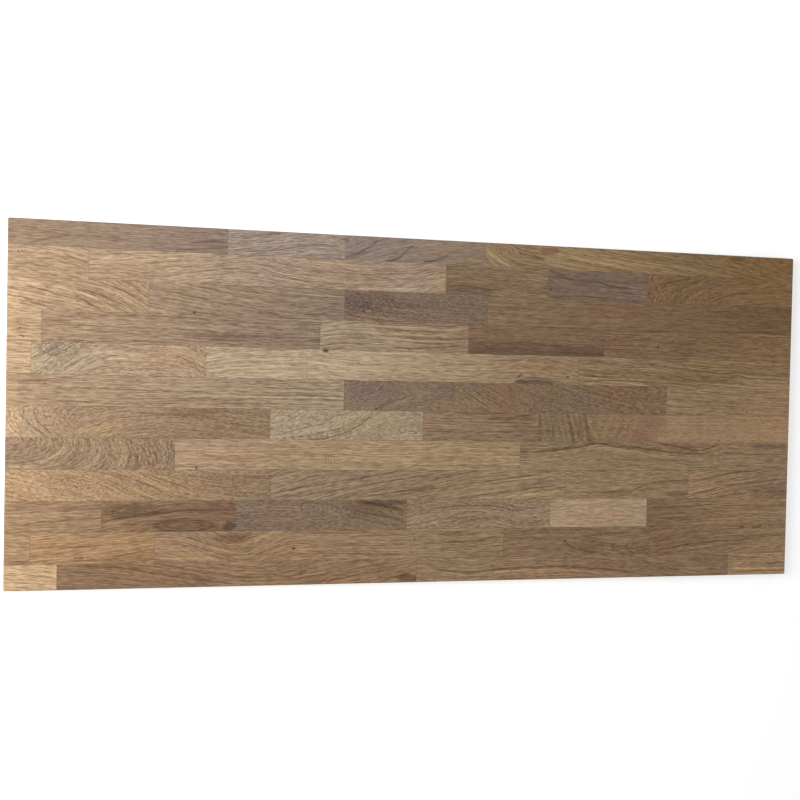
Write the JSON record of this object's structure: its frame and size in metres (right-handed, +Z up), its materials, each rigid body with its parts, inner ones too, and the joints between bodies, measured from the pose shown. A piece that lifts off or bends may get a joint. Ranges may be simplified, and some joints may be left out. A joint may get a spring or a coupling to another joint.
{
  "type": "glued laminated wood panel",
  "caption": "Rectangular panel of short oak staves glued edge to edge and end to end in staggered rows, with eased edges and rounded corners.",
  "frame": {"origin": "centre of the underside", "axes": "+X along the staves and the panel's length, +Y across the staves, +Z up out of the top face"},
  "size_m": [1.4, 0.6, 0.027],
  "materials": {
    "oak_cream": "sanded and oiled, low sheen",
    "oak_straw": "sanded and oiled, low sheen",
    "oak_honey": "sanded and oiled, low sheen",
    "oak_tan_brown": "sanded and oiled, low sheen",
    "oak_umber": "sanded and oiled, low sheen",
    "oak_smoke": "sanded and oiled, low sheen"
  },
  "bodies": {
    "root": {"row_01_stave_1": "oak_tan_brown", "row_01_stave_2": "oak_tan_brown", "row_01_stave_3": "oak_smoke", "row_01_stave_4": "oak_honey", "row_02_stave_1": "oak_straw", "row_02_stave_2": "oak_straw", "row_02_stave_3": "oak_umber", "row_02_stave_4": "oak_smoke", "row_02_stave_5": "oak_honey", "row_03_stave_1": "oak_straw", "row_03_stave_2": "oak_tan_brown", "row_03_stave_3": "oak_smoke", "row_03_stave_4": "oak_umber", "row_04_stave_1": "oak_straw", "row_04_stave_2": "oak_tan_brown", "row_04_stave_3": "oak_straw", "row_04_stave_4": "oak_umber", "row_04_stave_5": "oak_umber", "row_05_stave_1": "oak_cream", "row_05_stave_2": "oak_straw", "row_05_stave_3": "oak_straw", "row_05_stave_4": "oak_cream", "row_05_stave_5": "oak_honey", "row_06_stave_1": "oak_straw", "row_06_stave_2": "oak_smoke", "row_06_stave_3": "oak_tan_brown", "row_07_stave_1": "oak_straw", "row_07_stave_2": "oak_tan_brown", "row_07_stave_3": "oak_straw", "row_07_stave_4": "oak_umber", "row_07_stave_5": "oak_tan_brown", "row_08_stave_1": "oak_umber", "row_08_stave_2": "oak_straw", "row_08_stave_3": "oak_umber", "row_08_stave_4": "oak_umber", "row_09_stave_1": "oak_honey", "row_09_stave_2": "oak_tan_brown", "row_09_stave_3": "oak_tan_brown", "row_09_stave_4": "oak_honey", "row_10_stave_1": "oak_tan_brown", "row_10_stave_2": "oak_smoke", "row_10_stave_3": "oak_smoke", "row_10_stave_4": "oak_tan_brown", "row_10_stave_5": "oak_cream", "row_10_stave_6": "oak_umber", "row_11_stave_1": "oak_tan_brown", "row_11_stave_2": "oak_honey", "row_11_stave_3": "oak_honey", "row_11_stave_4": "oak_umber", "row_11_stave_5": "oak_umber", "row_12_stave_1": "oak_cream", "row_12_stave_2": "oak_tan_brown", "row_12_stave_3": "oak_tan_brown", "row_12_stave_4": "oak_honey"}
  },
  "joints": []
}
